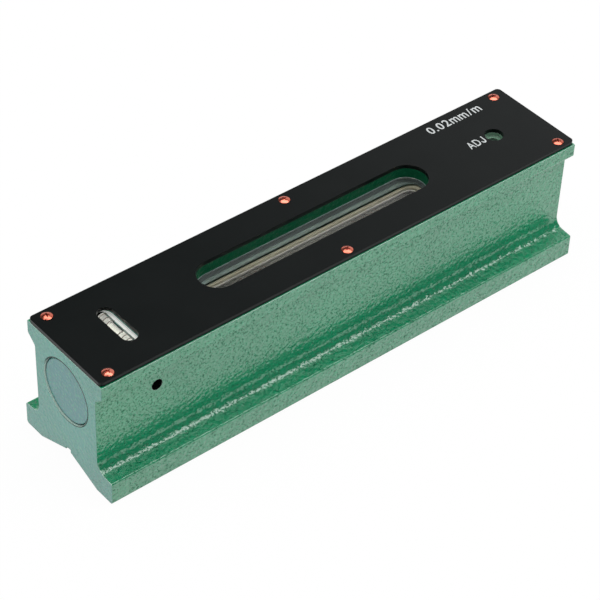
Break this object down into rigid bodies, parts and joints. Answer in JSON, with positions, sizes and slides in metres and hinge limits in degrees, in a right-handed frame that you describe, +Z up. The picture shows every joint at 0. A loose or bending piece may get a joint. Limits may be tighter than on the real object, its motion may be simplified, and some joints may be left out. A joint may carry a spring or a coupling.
{
  "type": "precision machinist level",
  "caption": "Cast bar level with a vee-grooved base, a lengthwise vial seen through a long window in the top cover, a small cross vial, an adjusting screw and round end plugs.",
  "frame": {"origin": "middle of the base, on the plane that the two feet rest on", "axes": "+X along the bar from the cross vial's end to the adjusting screw's end, +Y across the bar away from the side that is read, +Z up"},
  "size_m": [0.2, 0.047, 0.0491],
  "materials": {
    "hammered_green_paint": "hammered enamel, semi gloss",
    "black_plate": "fine satin",
    "copper_screws": "copper plated, bright",
    "plug_paint": "hammered enamel, semi gloss",
    "gasket": "matt",
    "clear_glass": "polished",
    "spirit": "clear liquid",
    "plaster": "matt",
    "dark_steel": "blackened",
    "bright_steel": "ground",
    "brass": "turned"
  },
  "bodies": {
    "bar": {"base_casting": "hammered_green_paint", "cover_plate": "black_plate", "cover_screws": "copper_screws", "end_plug_left": "plug_paint", "end_plug_right": "plug_paint", "pane_gasket": "gasket", "window_pane": "clear_glass", "cross_vial": "clear_glass", "cross_vial_spirit": "spirit", "cross_vial_bed": "plaster", "pivot_screw": "dark_steel", "spring_seat": "bright_steel"},
    "pad": {"thrust_pad": "bright_steel"},
    "screw": {"adjusting_screw": "dark_steel"},
    "holder": {"vial_tube": "brass", "pivot_plug": "brass", "adjusting_block": "brass", "tube_pins": "bright_steel", "main_vial": "clear_glass", "main_vial_spirit": "spirit", "vial_stopper_left": "clear_glass", "vial_stopper_right": "clear_glass", "vial_plaster_left": "plaster", "vial_plaster_right": "plaster", "return_spring": "bright_steel"}
  },
  "joints": [
    {"name": "screw_advance", "type": "slide", "parent": "bar", "child": "pad", "axis": [0, 0, 1], "range_m": [-0.0005, 0.0005]},
    {"name": "screw_turn", "type": "hinge", "parent": "pad", "child": "screw", "pos_m": [0.08, 0, 0.0425], "axis": [0, 0, 1], "range_deg": [-360, 360]},
    {"name": "holder_tilt", "type": "hinge", "parent": "bar", "child": "holder", "pos_m": [-0.0766, 0, 0.0327], "axis": [0, 1, 0], "range_deg": [-0.182, 0.182], "deforming": ["return_spring"]}
  ],
  "couplings": [
    {"joint": "screw_advance", "follows": "holder_tilt", "m_per_rad": -0.1566},
    {"joint": "screw_turn", "follows": "holder_tilt", "ratio": -1967.9}
  ]
}
